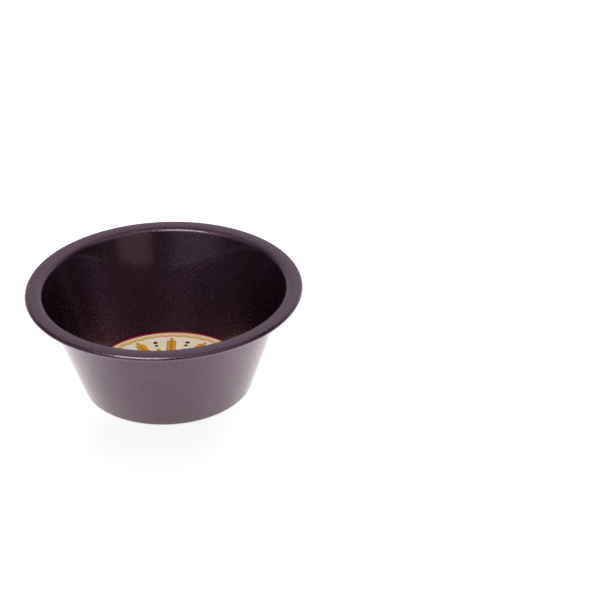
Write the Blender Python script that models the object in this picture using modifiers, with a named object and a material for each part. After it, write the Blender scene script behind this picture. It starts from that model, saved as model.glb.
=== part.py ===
# Deep round pie dish with a sloping wall: a pressed steel shell whose rim is rolled
# round a wire, and the round card that sits in the bottom until the dish is used.
# Metres, +Z up. The origin is the middle of the base, on the surface it stands on.
import math

import bmesh
import bpy

# The pressed sheet. The shell is described by its top side: floor, inside wall, rim.
SHEET = 0.0005              # thickness of the steel
DISH_HEIGHT = 0.0604        # standing surface to the crown of the rim
FLOOR_DIAMETER = 0.09165    # inside wall, run on down to the floor
MOUTH_DIAMETER = 0.1325     # inside wall, run on up to the height of the crown
CORNER_RADIUS = 0.0022      # inside bend from floor to wall
LIP_RADIUS = 0.0038         # top bend from wall to rim

# The rim outside the mouth, and the wire in its rolled edge
RIM_WIDTH = 0.00875         # from the run-on mouth to the outermost line of the edge
RIM_CROWN = math.radians(7.0)    # slope of the rim's top at its inner and outer end
WIRE_DIAMETER = 0.0014
WIRE_BUTT_GAP = 0.0008      # between the wire's two cut ends

# The card
CARD_SEAT = 0.0024          # floor to the card's underside, where its edge meets the wall
CARD_THICKNESS = 0.0005

CLEARANCE = 0.0003          # kept between pieces that touch, and at the end of the roll

# Fineness of the round forms
TURN_STEPS = 80
CORNER_POINTS = 6
LIP_POINTS = 5
CROWN_POINTS = 5
ROLL_TOP_POINTS = 5
ROLL_UNDER_POINTS = 11

# Sizes that follow from the ones above
floor_radius = FLOOR_DIAMETER / 2
mouth_radius = MOUTH_DIAMETER / 2
wall_slope = (mouth_radius - floor_radius) / (DISH_HEIGHT - SHEET)
wall_lean = math.atan(wall_slope)
roll_radius = WIRE_DIAMETER / 2 + CLEARANCE + SHEET
roll_centre_radius = mouth_radius + RIM_WIDTH - roll_radius


def wall_radius(height):
    """Radius of the straight inside wall at a height above the standing surface."""
    return floor_radius + wall_slope * (height - SHEET)


def corner_centre():
    """Centre of the bend from floor to wall, as (radius, height)."""
    height = SHEET + CORNER_RADIUS
    return wall_radius(height) - CORNER_RADIUS / math.cos(wall_lean), height


def rim_arcs():
    """Centres of the lip, crown and roll arcs and the crown's radius.

    The crown is one large arc that is tangent to the lip on its inside and to the
    roll on its outside, and whose top is at the height of the dish.
    """
    cos_crown = math.cos(RIM_CROWN)
    sin_crown = math.sin(RIM_CROWN)
    lip_offset = LIP_RADIUS / math.cos(wall_lean)
    room = roll_centre_radius - wall_radius(DISH_HEIGHT - LIP_RADIUS * cos_crown) - lip_offset
    crown_radius = (room + (LIP_RADIUS + roll_radius) * sin_crown) / (
        2 * sin_crown - wall_slope * (1 - cos_crown))
    lip_height = DISH_HEIGHT - crown_radius * (1 - cos_crown) - LIP_RADIUS * cos_crown
    lip = (wall_radius(lip_height) + lip_offset, lip_height)
    crown = (lip[0] + (crown_radius - LIP_RADIUS) * sin_crown, DISH_HEIGHT - crown_radius)
    roll = (roll_centre_radius, lip_height + (LIP_RADIUS - roll_radius) * cos_crown)
    return lip, crown, roll, crown_radius


def arc(centre, radius, start, end, count):
    """Points of an arc in the (radius, height) plane, both ends included."""
    points = []
    for i in range(count):
        angle = start + (end - start) * i / (count - 1)
        points.append((centre[0] + radius * math.cos(angle), centre[1] + radius * math.sin(angle)))
    return points


def shell_profile():
    """The top side of the sheet, from the middle of the floor out to the end of the roll."""
    lip, crown, roll, crown_radius = rim_arcs()
    upright = math.pi / 2
    # the roll turns on past its lowest point until its edge is one clearance below the rim
    roll_rise = math.asin((roll_radius - SHEET - CLEARANCE) / roll_radius)
    points = [(0.0, SHEET)]
    points += arc(corner_centre(), CORNER_RADIUS, -upright, -wall_lean, CORNER_POINTS)
    points += arc(lip, LIP_RADIUS, math.pi - wall_lean, upright + RIM_CROWN, LIP_POINTS)
    points += arc(crown, crown_radius, upright + RIM_CROWN, upright - RIM_CROWN, CROWN_POINTS)[1:]
    points += arc(roll, roll_radius, upright - RIM_CROWN, 0.0, ROLL_TOP_POINTS)[1:]
    points += arc(roll, roll_radius, 0.0, -math.pi - roll_rise, ROLL_UNDER_POINTS)[1:]
    return points


def card_radius():
    """Radius at which the card's lower edge is one clearance short of the bend or the wall."""
    bend_radius, bend_height = corner_centre()
    seat_height = SHEET + CARD_SEAT
    drop = bend_height - seat_height
    reach = CORNER_RADIUS - CLEARANCE
    if drop > reach * math.sin(wall_lean):
        return bend_radius + math.sqrt(max(reach ** 2 - drop ** 2, 0.0))
    return wall_radius(seat_height) - CLEARANCE / math.cos(wall_lean)


def linear(hex_colour):
    """Turn an sRGB hex colour into linear red, green, blue and alpha."""
    channels = []
    for i in (0, 2, 4):
        value = int(hex_colour[i:i + 2], 16) / 255
        channels.append(value / 12.92 if value <= 0.04045 else ((value + 0.055) / 1.055) ** 2.4)
    return (*channels, 1.0)


def make_material(name, hex_colour, metallic, roughness):
    material = bpy.data.materials.new(name)
    material.use_nodes = True
    shader = material.node_tree.nodes["Principled BSDF"]
    shader.inputs["Base Color"].default_value = linear(hex_colour)
    shader.inputs["Metallic"].default_value = metallic
    shader.inputs["Roughness"].default_value = roughness
    material.diffuse_color = linear(hex_colour)
    return material


def add_object(name, data, material, collection):
    piece = bpy.data.objects.new(name, data)
    data.materials.append(material)
    collection.objects.link(piece)
    return piece


def make_dish_shell(collection):
    """Turn the profile round the dish's axis and give the surface the sheet's thickness."""
    profile = shell_profile()
    mesh = bpy.data.meshes.new("dish_shell")
    vertices = [(radius, 0.0, height) for radius, height in profile]
    edges = [(i, i + 1) for i in range(len(profile) - 1)]
    mesh.from_pydata(vertices, edges, [])
    material = make_material("nonstick_coated_steel", "5A4E54", 0.3, 0.42)
    shell = add_object("dish_shell", mesh, material, collection)

    turn = shell.modifiers.new("turn", "SCREW")
    turn.axis = "Z"
    turn.steps = TURN_STEPS
    turn.render_steps = TURN_STEPS
    turn.use_merge_vertices = True
    turn.merge_threshold = 0.00001
    turn.use_smooth_shade = True

    wall = shell.modifiers.new("sheet", "SOLIDIFY")
    wall.thickness = SHEET
    wall.offset = -1.0
    wall.use_even_offset = True
    return shell


def make_rim_wire(collection):
    """The wire inside the roll: one turn, cut square, its ends facing across a small gap."""
    _, _, roll, _ = rim_arcs()
    half_gap = WIRE_BUTT_GAP / (2 * roll[0])
    curve = bpy.data.curves.new("rim_wire", "CURVE")
    curve.dimensions = "3D"
    curve.bevel_depth = WIRE_DIAMETER / 2
    curve.bevel_resolution = 2
    curve.use_fill_caps = True
    spline = curve.splines.new("POLY")
    spline.points.add(TURN_STEPS)
    for i, point in enumerate(spline.points):
        angle = half_gap + (math.tau - 2 * half_gap) * i / TURN_STEPS
        point.co = (roll[0] * math.cos(angle), roll[0] * math.sin(angle), 0.0, 1.0)
    material = make_material("bare_steel_wire", "9A9A9C", 1.0, 0.35)
    wire = add_object("rim_wire", curve, material, collection)
    wire.location = (0.0, 0.0, roll[1])
    return wire


def make_label_card(collection):
    """A stiff round card that wedges in the wall just above the floor."""
    radius = card_radius()
    builder = bmesh.new()
    bmesh.ops.create_cone(builder, cap_ends=True, segments=TURN_STEPS,
                          radius1=radius, radius2=radius, depth=CARD_THICKNESS)
    mesh = bpy.data.meshes.new("label_card")
    builder.to_mesh(mesh)
    builder.free()
    material = make_material("printed_card", "E8D6A0", 0.0, 0.3)
    card = add_object("label_card", mesh, material, collection)
    card.location = (0.0, 0.0, SHEET + CARD_SEAT + CARD_THICKNESS / 2)
    return card


for old_object in list(bpy.data.objects):
    bpy.data.objects.remove(old_object, do_unlink=True)

pie_dish = bpy.data.collections.new("pie_dish")
bpy.context.scene.collection.children.link(pie_dish)
make_dish_shell(pie_dish)
make_rim_wire(pie_dish)
make_label_card(pie_dish)
print("card diameter, mm:", round(card_radius() * 2000, 2))
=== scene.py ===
import math

import bpy
import numpy as np
from mathutils import Matrix, Vector


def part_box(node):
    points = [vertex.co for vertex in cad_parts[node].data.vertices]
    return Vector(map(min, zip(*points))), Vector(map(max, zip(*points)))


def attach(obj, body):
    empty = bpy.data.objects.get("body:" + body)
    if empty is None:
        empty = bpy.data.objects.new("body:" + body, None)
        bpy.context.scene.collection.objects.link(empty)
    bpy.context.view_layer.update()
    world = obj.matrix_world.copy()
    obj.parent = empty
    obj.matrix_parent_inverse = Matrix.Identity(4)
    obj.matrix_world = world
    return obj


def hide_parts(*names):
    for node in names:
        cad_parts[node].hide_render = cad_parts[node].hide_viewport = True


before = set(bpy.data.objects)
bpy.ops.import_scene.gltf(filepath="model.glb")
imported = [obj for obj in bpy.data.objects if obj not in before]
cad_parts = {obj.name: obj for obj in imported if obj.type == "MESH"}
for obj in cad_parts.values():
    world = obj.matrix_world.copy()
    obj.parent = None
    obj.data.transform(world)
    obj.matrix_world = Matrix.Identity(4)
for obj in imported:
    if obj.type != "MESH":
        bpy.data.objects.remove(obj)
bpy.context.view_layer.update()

mm = 0.001               # metres in a millimetre
noiseLow, noiseHigh = 0.3, 0.7      # where most of a noise texture's values lie


# Small helpers

def toLinear(hexColour):
    # sRGB hex to linear red, green, blue, alpha: a power curve with a straight foot
    channels = [int(hexColour[i:i + 2], 16) / 255 for i in (0, 2, 4)]
    return tuple(c / 12.92 if c <= 0.04045 else ((c + 0.055) / 1.055) ** 2.4 for c in channels) + (1.0,)


def addNode(tree, kind, inputs=None, **settings):
    # one node with its settings; an input is given a value or, where it is a socket, a link
    node = tree.nodes.new(kind)
    for key, value in settings.items():
        setattr(node, key, value)
    for key, value in (inputs or {}).items():
        if isinstance(value, bpy.types.NodeSocket):
            tree.links.new(value, node.inputs[key])
        else:
            node.inputs[key].default_value = value
    return node


def newMaterial(name):
    # a material with an empty node tree, ready for its nodes
    material = bpy.data.materials.new(name)
    material.use_nodes = True
    material.node_tree.nodes.clear()
    return material, material.node_tree


def meshFromGrid(name, points):
    # points is an array (along, around, 3), closed round: each cell of the grid becomes a quad,
    # and a row whose points all meet is a pole, one point with triangles round it
    along, around = points.shape[:2]
    isPole = np.ptp(points, axis=1).max(axis=1) < 1e-9
    index = np.zeros((along, around), int)
    kept = []
    count = 0
    for row in range(along):
        width = 1 if isPole[row] else around
        index[row] = count + np.arange(around) % width
        kept.append(points[row, :width])
        count += width
    nextAround = np.roll(index, -1, axis=1)
    quads = np.stack([index[:-1], nextAround[:-1], nextAround[1:], index[1:]], -1)
    faces = []
    for row in range(along - 1):
        corners = [0, 2, 3] if isPole[row] else [0, 1, 2] if isPole[row + 1] else [0, 1, 2, 3]
        faces += quads[row][:, corners].tolist()
    mesh = bpy.data.meshes.new(name)
    mesh.from_pydata(np.concatenate(kept).tolist(), [], faces)
    mesh.validate()
    mesh.shade_smooth()
    return mesh


def revolve(name, profile, steps):
    # P(s, a) = (r(s) cos a, r(s) sin a, z(s)), the profile turned about the dish's axis
    angle = np.arange(steps) * (math.tau / steps)
    radius, height = profile[:, 0:1], profile[:, 1:2]
    points = np.stack([radius * np.cos(angle), radius * np.sin(angle), height + 0 * angle], -1)
    return meshFromGrid(name, points)


def addPiece(name, mesh, materials, body, node):
    # links the finished mesh at the origin, rides it on its body and stands it in for its node
    piece = bpy.data.objects.new(name, mesh)
    bpy.context.scene.collection.objects.link(piece)
    for material in materials:
        mesh.materials.append(material)
    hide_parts(node)
    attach(piece, body)


# The camera stands where the photograph was taken from

shot = {
    "place": (0.0733, -0.9389, 0.5914),
    "tiltDown": 29.97,      # degrees below the horizon
    "roll": -0.71,          # degrees
    "lens": 120.0,          # mm
    "sensorWidth": 36.0,    # mm
    "nearest": 0.01,        # m, anything closer isn't drawn
}


def makeCamera():
    data = bpy.data.cameras.new("camera")
    data.lens = shot["lens"]
    data.sensor_width = shot["sensorWidth"]
    data.clip_start = shot["nearest"]
    camera = bpy.data.objects.new("camera", data)
    turn = Matrix.Rotation(math.radians(90 - shot["tiltDown"]), 3, "X")
    turn = turn @ Matrix.Rotation(math.radians(shot["roll"]), 3, "Z")
    camera.location = shot["place"]
    camera.rotation_euler = turn.to_euler()
    bpy.context.scene.collection.objects.link(camera)
    bpy.context.scene.camera = camera


makeCamera()
print("camera placed")


# The shell: one pressed sheet, described by its top side. It has the solid's own sizes

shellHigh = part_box("dish_shell")[1]
shell = {
    "sheet": 0.5 * mm,
    "height": shellHigh.z,
    "rimRadius": shellHigh.x,
    "floorRadius": 45.825 * mm,     # inside wall run on down to the floor
    "mouthRadius": 66.25 * mm,      # inside wall run on up to the crown's height
    "cornerRadius": 2.2 * mm,
    "lipRadius": 3.8 * mm,
    "rollRadius": 1.5 * mm,         # outside of the rolled edge
    "rollGap": 0.3 * mm,            # between the roll's end and the rim above it
    "crownTilt": math.radians(7),
    "shoulderEnd": math.radians(-4),
    # eases as arc takes them: a tighter bend of the lip at the wall, a flatter shoulder of the roll
    "lipEase": (0.05 * mm, math.radians(139), math.radians(44)),
    "shoulderEase": (-0.15 * mm, math.radians(39.5), math.radians(87)),
    # points along each run of the profile, and round the dish
    "floorPoints": 12,
    "cornerPoints": 20,
    "wallPoints": 20,
    "lipPoints": 30,
    "crownPoints": 14,
    "shoulderPoints": 28,
    "rollPoints": 34,
    "endPoints": 4,
    "around": 256,
}


def shellCurves():
    # the wall's lean and the centres of the four arcs: each arc is tangent to its neighbours,
    # and the crown's highest point is at the height of the dish
    s = shell
    slope = (s["mouthRadius"] - s["floorRadius"]) / (s["height"] - s["sheet"])
    lean = math.atan(slope)
    wallAt = lambda z: s["floorRadius"] + slope * (z - s["sheet"])
    cornerZ = s["sheet"] + s["cornerRadius"]
    corner = (wallAt(cornerZ) - s["cornerRadius"] / math.cos(lean), cornerZ)
    cosTilt, sinTilt = math.cos(s["crownTilt"]), math.sin(s["crownTilt"])
    lipOffset = s["lipRadius"] / math.cos(lean)
    rollR = s["rimRadius"] - s["rollRadius"]
    room = rollR - wallAt(s["height"] - s["lipRadius"] * cosTilt) - lipOffset
    crownRadius = (room + (s["lipRadius"] + s["rollRadius"]) * sinTilt) / (
        2 * sinTilt - slope * (1 - cosTilt))
    lipZ = s["height"] - crownRadius * (1 - cosTilt) - s["lipRadius"] * cosTilt
    lip = (wallAt(lipZ) + lipOffset, lipZ)
    crown = (lip[0] + (crownRadius - s["lipRadius"]) * sinTilt, s["height"] - crownRadius)
    roll = (rollR, lipZ + (s["lipRadius"] - s["rollRadius"]) * cosTilt)
    return lean, corner, lip, crown, crownRadius, roll


def arc(centre, radius, start, end, count, bulge=1, ease=(0.0, 0.0, 1.0)):
    # an arc of the sheet at even angles: its top side, and its under side one thickness below.
    # bulge is -1 where the top side is the hollow one.
    # ease is (lift, at, span): the top side is lifted by lift (1 + cos p) / 2 about the angle at,
    # p running from -pi to pi over span, which bends it tighter there, or flatter below nothing
    angle = np.linspace(start, end, count)
    direction = np.stack([np.cos(angle), np.sin(angle)], -1)
    onward = np.stack([-np.sin(angle), np.cos(angle)], -1)
    lift, at, span = ease
    p = np.clip((angle - at) / (span / 2), -1, 1) * math.pi
    rise = lift * (1 + np.cos(p)) / 2
    slide = -lift * np.sin(p) * math.pi / span
    plain = np.asarray(centre) + radius * direction
    top = plain + rise[:, None] * direction + slide[:, None] * onward
    return top, plain - bulge * shell["sheet"] * direction


def straight(first, last, count):
    # even steps from one arc's end to the next one's start, on both sides of the sheet
    share = np.linspace(0, 1, count)[:, None]
    return tuple(a + share * (b - a) for a, b in zip(first, last))


def makeShell(material):
    # the profile runs along the top side from the middle to the roll's end and back underneath
    s = shell
    lean, corner, lip, crown, crownRadius, roll = shellCurves()
    up = math.pi / 2
    rimIn, rimOut = up + s["crownTilt"], up - s["crownTilt"]
    rollRise = math.asin((s["rollRadius"] - s["sheet"] - s["rollGap"]) / s["rollRadius"])
    corners = arc(corner, s["cornerRadius"], -up, -lean, s["cornerPoints"], bulge=-1)
    lips = arc(lip, s["lipRadius"], math.pi - lean, rimIn, s["lipPoints"], ease=s["lipEase"])
    crowns = arc(crown, crownRadius, rimIn, rimOut, s["crownPoints"])
    shoulders = arc(roll, s["rollRadius"], rimOut, s["shoulderEnd"], s["shoulderPoints"],
                    ease=s["shoulderEase"])
    rolls = arc(roll, s["rollRadius"], s["shoulderEnd"], -math.pi - rollRise, s["rollPoints"])
    middle = np.array([[0.0, s["sheet"]], [0.0, 0.0]])
    floors = straight(middle, [side[0] for side in corners], s["floorPoints"])
    walls = straight([side[-1] for side in corners], [side[0] for side in lips], s["wallPoints"])
    top, under = [np.concatenate([floors[i][:-1], corners[i], walls[i][1:-1], lips[i],
                                  crowns[i][1:], shoulders[i][1:], rolls[i][1:]]) for i in (0, 1)]
    endLine = np.linspace(top[-1], under[-1], s["endPoints"])[1:-1]     # the sheet's cut end
    profile = np.concatenate([top, endLine, under[::-1]])
    addPiece("pressed_shell", revolve("pressed_shell", profile[::-1], s["around"]), [material],
             "dish", "dish_shell")


# The coating: silicone-polyester non-stick enamel with metal flake, sprayed on steel and baked.
# The flakes give a dark, slightly purple metallic tone with a fine sparkle, and the clear
# binder over them a smooth gloss that turns white where it is seen at a low angle

coating = {
    "dark": "4E3543",
    "light": "674C5A",
    "metallic": 1.0,
    "roughness": 0.27,          # of the flakes' layer
    "roughnessSpread": 0.05,    # either way, from flake to flake
    "edgeTint": "F8EAF2",       # of the flakes seen at a low angle
    "binderRoughness": 0.1,
    "binderIor": 1.58,
    "flakeSize": 0.8,           # mm, drawn coarser than the real 0.1 mm so that it shows
    "flakeTilt": 0.19,          # mm of relief across a flake
    "flakeTones": (0.35, 0.68),     # noise values of an all dark and an all light flake
    "cloudSize": 14.0,          # mm, slow change of tone from the spray
    "cloudReach": 0.15,         # how far a cloud moves the tone from dark to light
}


def makeCoating():
    c = coating
    material, tree = newMaterial("nonstick_flake_enamel")
    place = addNode(tree, "ShaderNodeTexCoord").outputs["Object"]
    flake = addNode(tree, "ShaderNodeTexNoise",
                    {"Vector": place, "Scale": 1 / (c["flakeSize"] * mm), "Detail": 2.0, "Roughness": 0.6})
    cloud = addNode(tree, "ShaderNodeTexNoise",
                    {"Vector": place, "Scale": 1 / (c["cloudSize"] * mm), "Detail": 2.0})
    flakeShare = addNode(tree, "ShaderNodeMapRange",
                         {"Value": flake.outputs["Fac"],
                          "From Min": c["flakeTones"][0], "From Max": c["flakeTones"][1]})
    cloudShare = addNode(tree, "ShaderNodeMapRange",
                         {"Value": cloud.outputs["Fac"], "From Min": noiseLow, "From Max": noiseHigh,
                          "To Min": c["cloudReach"], "To Max": -c["cloudReach"]})
    share = addNode(tree, "ShaderNodeMath", {0: flakeShare.outputs[0], 1: cloudShare.outputs[0]},
                    operation="ADD", use_clamp=True)
    colour = addNode(tree, "ShaderNodeMix",
                     {0: share.outputs[0], 6: toLinear(c["dark"]), 7: toLinear(c["light"])},
                     data_type="RGBA")
    rough = addNode(tree, "ShaderNodeMapRange",
                    {"Value": flake.outputs["Fac"], "From Min": noiseLow, "From Max": noiseHigh,
                     "To Min": c["roughness"] + c["roughnessSpread"],
                     "To Max": c["roughness"] - c["roughnessSpread"]})
    tilt = addNode(tree, "ShaderNodeBump", {"Height": flake.outputs["Fac"], "Distance": c["flakeTilt"] * mm})
    shader = addNode(tree, "ShaderNodeBsdfPrincipled",
                     {"Base Color": colour.outputs[2], "Metallic": c["metallic"],
                      "Roughness": rough.outputs[0], "Normal": tilt.outputs[0],
                      "Coat Weight": 1.0, "Coat Roughness": c["binderRoughness"],
                      "Coat IOR": c["binderIor"], "Specular Tint": toLinear(c["edgeTint"])})
    addNode(tree, "ShaderNodeOutputMaterial", {"Surface": shader.outputs[0]})
    return material


makeShell(makeCoating())
print("shell made")


# The wire in the rolled edge, seen only past the roll's end

wire = {
    "thickness": 1.4 * mm,
    "buttGap": 0.8 * mm,
    "chamfer": 0.15 * mm,
    "around": 256,
    "sides": 16,
    "dark": "8C8C8E",
    "light": "B4B4B4",
    "grainSize": 0.3,           # mm
    "roughness": (0.28, 0.45),
}


def makeWire(material):
    # a circle of radius w(a) carried round the dish; w falls to nothing at the two cut ends
    w = wire
    roll = shellCurves()[-1]
    half = w["buttGap"] / (2 * roll[0])
    chamferTurn = w["chamfer"] / roll[0]
    angle = np.linspace(half + chamferTurn, math.tau - half - chamferTurn, w["around"])
    angle = np.concatenate([[half, half], angle, [math.tau - half, math.tau - half]])
    radius = np.full(len(angle), w["thickness"] / 2)
    radius[[1, -2]] -= w["chamfer"]
    radius[[0, -1]] = 0
    turn = -np.arange(w["sides"]) * (math.tau / w["sides"])
    across = roll[0] + radius[:, None] * np.cos(turn)
    height = roll[1] + radius[:, None] * np.sin(turn)
    points = np.stack([across * np.cos(angle)[:, None], across * np.sin(angle)[:, None], height], -1)
    addPiece("steel_wire", meshFromGrid("steel_wire", points), [material],
             "dish", "rim_wire")


# Drawn low-carbon steel wire: bare and grey, with a fine uneven grain that breaks up its gloss

def makeWireSteel():
    w = wire
    material, tree = newMaterial("drawn_steel")
    place = addNode(tree, "ShaderNodeTexCoord").outputs["Object"]
    grain = addNode(tree, "ShaderNodeTexNoise",
                    {"Vector": place, "Scale": 1 / (w["grainSize"] * mm), "Detail": 3.0})
    tone = addNode(tree, "ShaderNodeMix",
                   {0: grain.outputs["Fac"], 6: toLinear(w["dark"]), 7: toLinear(w["light"])},
                   data_type="RGBA")
    rough = addNode(tree, "ShaderNodeMapRange",
                    {"Value": grain.outputs["Fac"], "To Min": w["roughness"][0], "To Max": w["roughness"][1]})
    shader = addNode(tree, "ShaderNodeBsdfPrincipled",
                     {"Base Color": tone.outputs[2], "Metallic": 1.0, "Roughness": rough.outputs[0]})
    addNode(tree, "ShaderNodeOutputMaterial", {"Surface": shader.outputs[0]})
    return material


makeWire(makeWireSteel())
print("wire made")


# The card: a stiff printed disc. Its print is drawn as distances in mm from the edge of each
# inked shape, negative inside, kept on the mesh's points

cardLow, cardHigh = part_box("label_card")
card = {
    "radius": cardHigh.x * 1000,    # mm
    "around": 480,
    "ringStep": 0.42,               # mm between rings of points on the printed side
    "edgeRound": 0.12,              # mm
    "edgePoints": 5,
    "printedTilt": 0.7,             # least upward part of a printed face's normal
    "backDark": "C9C5BA",
    "backLight": "DEDAD0",
    "backRoughness": 0.85,
    "backFibre": 0.8,               # mm, drawn coarser than the real 0.1 mm so that it shows
    "backRelief": 0.01,             # mm
}

# The print, in mm from the disc's middle: a red border, a scalloped ring, ears of wheat with
# their stems, leaves and berries between them, and a petalled flower on an amber round

design = {
    "border": 1.6,
    "scallops": 36,
    "scallopRadius": 40.4,
    "scallopDepth": 0.9,
    "ears": 12,
    "stem": (17.8, 36.0),           # its start and end
    "stemHalfWidth": 0.28,
    "firstGrain": 22.4,
    "grainStep": 2.9,
    "grainRows": 5,
    "grainAside": 1.35,             # from the stem's line to the middle of a grain
    "grainHalves": (2.0, 0.92),     # half its length and half its width
    "grainTurn": math.radians(24),
    "tipHalves": (2.1, 0.95),
    "berries": [(35.2, 1.35), (31.9, 1.08)],    # place and radius of each
    "leafAt": 24.2,
    "leafHalves": (4.6, 1.5),
    "medallionRadius": 17.0,
    "petals": 12,
    "petalAt": 8.4,
    "petalHalves": (4.9, 1.55),
    "budRadius": 2.3,
}


def ellipseDistance(x, y, place, halves, turn=0.0):
    # roughly the distance to an ellipse's outline: its scaled radius less one, times its short half
    dx, dy = x - place[0], y - place[1]
    along = dx * math.cos(turn) + dy * math.sin(turn)
    across = dy * math.cos(turn) - dx * math.sin(turn)
    return (np.hypot(along / halves[0], across / halves[1]) - 1) * halves[1]


def sectorCoordinates(x, y, count, offset=0.0):
    # folds the disc into one of count equal sectors, mirrored about the sector's middle line
    radius, angle = np.hypot(x, y), np.arctan2(y, x)
    sector = math.tau / count
    local = np.mod(angle + sector / 2 + offset * sector, sector) - sector / 2
    return radius * np.cos(local), np.abs(radius * np.sin(local))


def printedShapes(x, y):
    # the distance field of each inked shape; a shape made of several is the least of their distances
    d = design
    radius, angle = np.hypot(x, y), np.arctan2(y, x)
    ear = sectorCoordinates(x, y, d["ears"])
    between = sectorCoordinates(x, y, d["ears"], 0.5)
    petal = sectorCoordinates(x, y, d["petals"])
    rows = d["firstGrain"] + d["grainStep"] * np.arange(d["grainRows"] + 1)
    grains = [ellipseDistance(*ear, (row, d["grainAside"]), d["grainHalves"], d["grainTurn"])
              for row in rows[:-1]]
    grains.append(ellipseDistance(*ear, (rows[-1], 0.0), d["tipHalves"]))
    stemEnds = np.maximum(d["stem"][0] - ear[0], ear[0] - d["stem"][1])
    berries = [np.hypot(between[0] - at, between[1]) - size for at, size in d["berries"]]
    petals = [ellipseDistance(*petal, (d["petalAt"], 0.0), d["petalHalves"]), radius - d["budRadius"]]
    waves = d["scallopDepth"] * np.abs(np.cos(angle * d["scallops"] / 2))
    return {
        "inkBorder": card["radius"] - d["border"] - radius,
        "inkScallop": d["scallopRadius"] + waves - radius,
        "inkStem": np.maximum(ear[1] - d["stemHalfWidth"], stemEnds),
        "inkGrain": np.minimum.reduce(grains),
        "inkLeaf": ellipseDistance(*between, (d["leafAt"], 0.0), d["leafHalves"]),
        "inkBerry": np.minimum.reduce(berries),
        "inkMedallion": radius - d["medallionRadius"],
        "inkPetal": np.minimum.reduce(petals),
    }


def makeCard(printed, back):
    # printed side, rounded edge and underside as one profile, turned about the axis
    c = card
    low, high, edge = cardLow.z, cardHigh.z, c["edgeRound"] * mm
    outer = c["radius"] * mm
    topReach = np.linspace(0, outer - edge, int(c["radius"] / c["ringStep"]))
    bend = np.linspace(math.pi / 2, 0, c["edgePoints"])[1:]
    underReach = np.array([outer - edge, outer / 2, 0.0])
    profile = np.concatenate([
        np.stack([topReach, 0 * topReach + high], -1),
        np.stack([outer - edge + edge * np.cos(bend), high - edge + edge * np.sin(bend)], -1),
        np.stack([outer - edge + edge * np.cos(bend[::-1]), low + edge - edge * np.sin(bend[::-1])], -1),
        np.stack([underReach, 0 * underReach + low], -1),
    ])
    mesh = revolve("printed_disc", profile[::-1], c["around"])
    addPiece("printed_disc", mesh, [printed, back], "label", "label_card")
    spots = np.zeros(len(mesh.vertices) * 3, np.float32)
    mesh.vertices.foreach_get("co", spots)
    x, y = (spots.reshape(-1, 3)[:, :2] / mm).T
    for name, values in printedShapes(x, y).items():
        mesh.attributes.new(name, "FLOAT", "POINT").data.foreach_set("value", values.astype(np.float32))
    normals = np.zeros(len(mesh.polygons) * 3, np.float32)
    mesh.polygons.foreach_get("normal", normals)
    isBack = (normals.reshape(-1, 3)[:, 2] < c["printedTilt"]).astype(np.int32)
    mesh.polygons.foreach_set("material_index", isBack)


# Offset-printed and varnished solid board: clear bright inks under a smooth gloss

inks = {
    "cream": "FCF6E6",
    "straw": "F5E4B2",
    "red": "B4202B",
    "crust": "E7AC33",
    "crustDark": "C98A1C",
    "grain": "F0B830",
    "grainEdge": "B8700E",
    "leaf": "D8931F",
    "berry": "4A2018",
    "amber": "E8960C",
    "amberDark": "C47404",
    "petal": "FCE9B4",
    "groundSize": 9.0,          # mm, slow change of the ground from cream to straw
    "groundTones": (0.35, 0.7),     # noise values of all cream and all straw
    "inkEdge": 0.06,            # mm, softness of a printed edge
    "roughness": 0.28,
    "ior": 1.5,
    "fibreSize": 0.4,           # mm, the board's fibres, faint under the varnish
    "fibreRelief": 0.002,       # mm
    # the shapes from the lowest up: the field, mm that it is grown by, the ink at its edge,
    # the ink further in, and mm over which the one turns into the other
    "layers": [
        ("inkScallop", 0.35, "crustDark", "crustDark", 1.0),
        ("inkScallop", 0.0, "crust", "straw", 3.0),
        ("inkStem", 0.0, "grainEdge", "grainEdge", 1.0),
        ("inkLeaf", 0.0, "leaf", "grain", 1.2),
        ("inkGrain", 0.2, "grainEdge", "grainEdge", 1.0),
        ("inkGrain", 0.0, "leaf", "grain", 0.8),
        ("inkBerry", 0.0, "berry", "berry", 1.0),
        ("inkMedallion", 0.5, "cream", "cream", 1.0),
        ("inkMedallion", 0.0, "amberDark", "amber", 6.0),
        ("inkPetal", 0.0, "petal", "petal", 1.0),
        ("inkBorder", 0.45, "cream", "cream", 1.0),
        ("inkBorder", 0.0, "red", "red", 1.0),
    ],
}


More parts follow.
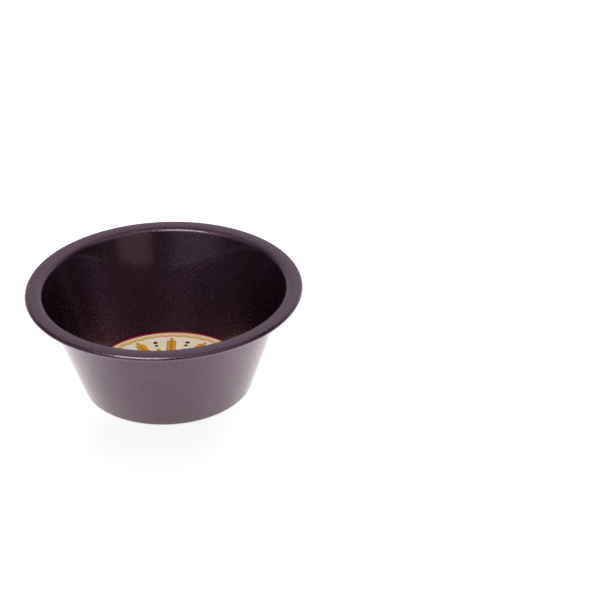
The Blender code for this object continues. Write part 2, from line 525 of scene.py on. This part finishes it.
def makePrintedBoard():
    material, tree = newMaterial("varnished_printed_board")
    place = addNode(tree, "ShaderNodeTexCoord").outputs["Object"]
    paper = addNode(tree, "ShaderNodeTexNoise",
                    {"Vector": place, "Scale": 1 / (inks["groundSize"] * mm), "Detail": 3.0})
    ground = addNode(tree, "ShaderNodeMapRange",
                     {"Value": paper.outputs["Fac"],
                      "From Min": inks["groundTones"][0], "From Max": inks["groundTones"][1]})
    printed = addNode(tree, "ShaderNodeMix",
                     {0: ground.outputs[0], 6: toLinear(inks["cream"]), 7: toLinear(inks["straw"])},
                     data_type="RGBA")
    for name, grown, edgeInk, innerInk, deep in inks["layers"]:
        field = addNode(tree, "ShaderNodeAttribute", attribute_name=name).outputs["Fac"]
        inside = addNode(tree, "ShaderNodeMapRange",
                         {"Value": field, "From Min": grown + inks["inkEdge"],
                          "From Max": grown - inks["inkEdge"]})
        depth = addNode(tree, "ShaderNodeMapRange", {"Value": field, "From Min": 0.0, "From Max": -deep})
        ink = addNode(tree, "ShaderNodeMix",
                      {0: depth.outputs[0], 6: toLinear(inks[edgeInk]), 7: toLinear(inks[innerInk])},
                      data_type="RGBA")
        printed = addNode(tree, "ShaderNodeMix",
                          {0: inside.outputs[0], 6: printed.outputs[2], 7: ink.outputs[2]},
                          data_type="RGBA")
    fibre = addNode(tree, "ShaderNodeTexNoise",
                    {"Vector": place, "Scale": 1 / (inks["fibreSize"] * mm), "Detail": 2.0})
    bump = addNode(tree, "ShaderNodeBump",
                   {"Height": fibre.outputs["Fac"], "Distance": inks["fibreRelief"] * mm})
    shader = addNode(tree, "ShaderNodeBsdfPrincipled",
                     {"Base Color": printed.outputs[2], "Roughness": inks["roughness"], "IOR": inks["ior"],
                      "Normal": bump.outputs[0]})
    addNode(tree, "ShaderNodeOutputMaterial", {"Surface": shader.outputs[0]})
    return material


# The bare back and cut edge of the board: uncoated, grey-white, faintly fibrous

def makeBoardBack():
    c = card
    material, tree = newMaterial("uncoated_board")
    place = addNode(tree, "ShaderNodeTexCoord").outputs["Object"]
    fibre = addNode(tree, "ShaderNodeTexNoise",
                    {"Vector": place, "Scale": 1 / (c["backFibre"] * mm), "Detail": 5.0})
    tone = addNode(tree, "ShaderNodeMix",
                   {0: fibre.outputs["Fac"], 6: toLinear(c["backDark"]), 7: toLinear(c["backLight"])},
                   data_type="RGBA")
    bump = addNode(tree, "ShaderNodeBump",
                   {"Height": fibre.outputs["Fac"], "Distance": c["backRelief"] * mm})
    shader = addNode(tree, "ShaderNodeBsdfPrincipled",
                     {"Base Color": tone.outputs[2], "Roughness": c["backRoughness"],
                      "Normal": bump.outputs[0]})
    addNode(tree, "ShaderNodeOutputMaterial", {"Surface": shader.outputs[0]})
    return material


makeCard(makePrintedBoard(), makeBoardBack())
print("card made")


# The studio: a white sweep, dim walls with a white one behind, a softbox in front on the left,
# and an overhead fill that lights matt surfaces without a reflection of its own

studio = {
    "floorSize": 8.0,
    "floorDrop": 0.01 * mm,     # just below the base, so that the two share no plane
    "floorColour": "A5A5A5",
    "glowInPaintedShade": 0.67,           # added for camera and gloss rays, so the floor reads white; lower at the spot in front of the dish, as painted shade that the dish's wall reflects
    "glowFar": 1.0,             # the same, further from the painted shade's spot in front of the dish
    # the spot in front of the dish where the glow is dimmer: painted shade of the dish's base, seen in its
    # wall
    "paintedShadeSpot": (-0.005, -0.07, 0.0),
    "glowReach": (0.02, 0.113),     # m from the spot, where the near glow ends and the far one starts
    "glowToCamera": 0.07,       # added once more for camera rays, so the shadow stays faint
    "roomColour": "FCF0FF",
    "room": 0.04,               # level of the dark parts of the room
    "ceiling": 0.26,            # added overhead
    "ceilingEdge": (0.6, 0.9),      # upward part of the directions where it starts and is whole
    "backWall": 0.47,           # added behind
    "backAt": (0.13, 0.99, 0.0),
    "backEdge": (0.05, 0.8),        # the same for the back wall, along backAt
    "backFoot": 0.12,           # upward part of the direction where the back wall is whole
    "boards": [                 # direction, colour, level, and the cosines of its soft edge
        ((0.494, -0.855, 0.156), "E8C8BE", 0.45, 0.94, 0.988),     # a warm one low down, front right
        ((-0.458, -0.793, 0.402), "EAE0FF", 0.25, 0.82, 0.96),     # a cool one under the softbox
        ((0.586, -0.457, 0.669), "FCF0FF", 0.4, 0.83, 0.96),       # one high up, front right
        ((-0.776, -0.137, 0.616), "FCF0FF", 0.22, 0.85, 0.96),     # one high up, left
        ((0.5, 0.75, 0.43), "FCF0FF", 0.1, 0.79, 0.9),             # the back wall's brighter right end
    ],
    "lampAim": (0.0, 0.0, 0.03),    # the middle of the dish
    "softboxPlace": (-0.546, -1.439, 1.9),
    "softboxSize": (1.4, 1.0),
    "softboxPower": 25.0,
    "fillPlace": (0.0, 0.0, 2.5),
    "fillSize": (2.0, 2.0),
    "fillPower": 12.0,
}


def makeFloor():
    # a square sheet; to camera, gloss and transmission rays it also glows, up to plain white, and less near a
    # spot in front of the dish, as painted shade
    s = studio
    half, level = s["floorSize"] / 2, -s["floorDrop"]
    mesh = bpy.data.meshes.new("floor")
    corners = [(-half, -half, level), (half, -half, level), (half, half, level), (-half, half, level)]
    mesh.from_pydata(corners, [], [(0, 1, 2, 3)])
    floor = bpy.data.objects.new("floor", mesh)
    bpy.context.scene.collection.objects.link(floor)
    material, tree = newMaterial("white_paper_sweep")
    matt = addNode(tree, "ShaderNodeBsdfDiffuse", {"Color": toLinear(s["floorColour"])})
    place = addNode(tree, "ShaderNodeTexCoord").outputs["Object"]
    # the glow is dimmer near the spot in front of the dish: painted shade of the dish's base, seen mostly in
    # the dish's wall
    away = addNode(tree, "ShaderNodeVectorMath", {0: place, 1: s["paintedShadeSpot"]}, operation="DISTANCE")
    amount = addNode(tree, "ShaderNodeMapRange",
                     {"Value": away.outputs["Value"],
                      "From Min": s["glowReach"][0], "From Max": s["glowReach"][1],
                      "To Min": s["glowInPaintedShade"], "To Max": s["glowFar"]},
                     interpolation_type="SMOOTHSTEP")
    path = addNode(tree, "ShaderNodeLightPath")
    seen = addNode(tree, "ShaderNodeMath",
                   {0: path.outputs["Is Camera Ray"], 1: path.outputs["Is Glossy Ray"]},
                   operation="MAXIMUM")
    seen = addNode(tree, "ShaderNodeMath",
                   {0: seen.outputs[0], 1: path.outputs["Is Transmission Ray"]}, operation="MAXIMUM")
    strength = addNode(tree, "ShaderNodeMath", {0: seen.outputs[0], 1: amount.outputs[0]},
                       operation="MULTIPLY")
    strength = addNode(tree, "ShaderNodeMath",
                       {0: path.outputs["Is Camera Ray"], 1: s["glowToCamera"], 2: strength.outputs[0]},
                       operation="MULTIPLY_ADD")
    glow = addNode(tree, "ShaderNodeEmission", {"Strength": strength.outputs[0]})
    both = addNode(tree, "ShaderNodeAddShader", {0: matt.outputs[0], 1: glow.outputs[0]})
    addNode(tree, "ShaderNodeOutputMaterial", {"Surface": both.outputs[0]})
    mesh.materials.append(material)


def makeSurround():
    # the world: plain white straight to the camera, and for light and reflections a room
    s = studio
    world = bpy.data.worlds.new("surround")
    bpy.context.scene.world = world
    world.use_nodes = True
    tree = world.node_tree
    tree.nodes.clear()
    direction = addNode(tree, "ShaderNodeTexCoord").outputs["Generated"]
    height = addNode(tree, "ShaderNodeSeparateXYZ", {0: direction}).outputs["Z"]
    backward = addNode(tree, "ShaderNodeVectorMath", {0: direction, 1: s["backAt"]}, operation="DOT_PRODUCT")
    backWall = addNode(tree, "ShaderNodeMapRange",
                       {"Value": backward.outputs["Value"],
                        "From Min": s["backEdge"][0], "From Max": s["backEdge"][1],
                        "To Max": s["backWall"]}, interpolation_type="SMOOTHSTEP")
    aboveFloor = addNode(tree, "ShaderNodeMapRange", {"Value": height, "From Max": s["backFoot"]})
    ceiling = addNode(tree, "ShaderNodeMapRange",
                      {"Value": height, "From Min": s["ceilingEdge"][0], "From Max": s["ceilingEdge"][1],
                       "To Min": s["room"], "To Max": s["room"] + s["ceiling"]},
                      interpolation_type="SMOOTHSTEP")
    level = addNode(tree, "ShaderNodeMath",
                    {0: backWall.outputs[0], 1: aboveFloor.outputs[0], 2: ceiling.outputs[0]},
                    operation="MULTIPLY_ADD")
    room = addNode(tree, "ShaderNodeBackground",
                   {"Color": toLinear(s["roomColour"]), "Strength": level.outputs[0]})
    for place, colour, most, edge, full in s["boards"]:
        nearness = addNode(tree, "ShaderNodeVectorMath", {0: direction, 1: place}, operation="DOT_PRODUCT")
        glow = addNode(tree, "ShaderNodeMapRange",
                       {"Value": nearness.outputs["Value"], "From Min": edge, "From Max": full,
                        "To Max": most}, interpolation_type="SMOOTHSTEP")
        board = addNode(tree, "ShaderNodeBackground",
                        {"Color": toLinear(colour), "Strength": glow.outputs[0]})
        room = addNode(tree, "ShaderNodeAddShader", {0: room.outputs[0], 1: board.outputs[0]})
    path = addNode(tree, "ShaderNodeLightPath")
    through = addNode(tree, "ShaderNodeMath",
                      {0: path.outputs["Is Camera Ray"], 1: path.outputs["Is Transmission Ray"]},
                      operation="MAXIMUM")
    white = addNode(tree, "ShaderNodeBackground", {"Color": toLinear("FFFFFF"), "Strength": 1.0})
    seen = addNode(tree, "ShaderNodeMixShader",
                   {0: through.outputs[0], 1: room.outputs[0], 2: white.outputs[0]})
    addNode(tree, "ShaderNodeOutputWorld", {"Surface": seen.outputs[0]})


def makeLamp(name, place, size, power):
    # a rectangular area lamp aimed at the dish
    data = bpy.data.lights.new(name, "AREA")
    data.shape = "RECTANGLE"
    data.size, data.size_y = size
    data.energy = power
    lamp = bpy.data.objects.new(name, data)
    lamp.location = place
    aim = Vector(studio["lampAim"]) - lamp.location
    lamp.rotation_euler = aim.to_track_quat("-Z", "Y").to_euler()
    bpy.context.scene.collection.objects.link(lamp)
    return lamp


makeFloor()
makeSurround()
makeLamp("softbox", studio["softboxPlace"], studio["softboxSize"], studio["softboxPower"])
fill = makeLamp("fill", studio["fillPlace"], studio["fillSize"], studio["fillPower"])
fill.visible_glossy = False
bpy.context.scene.view_settings.view_transform = "Standard"
print("studio made")
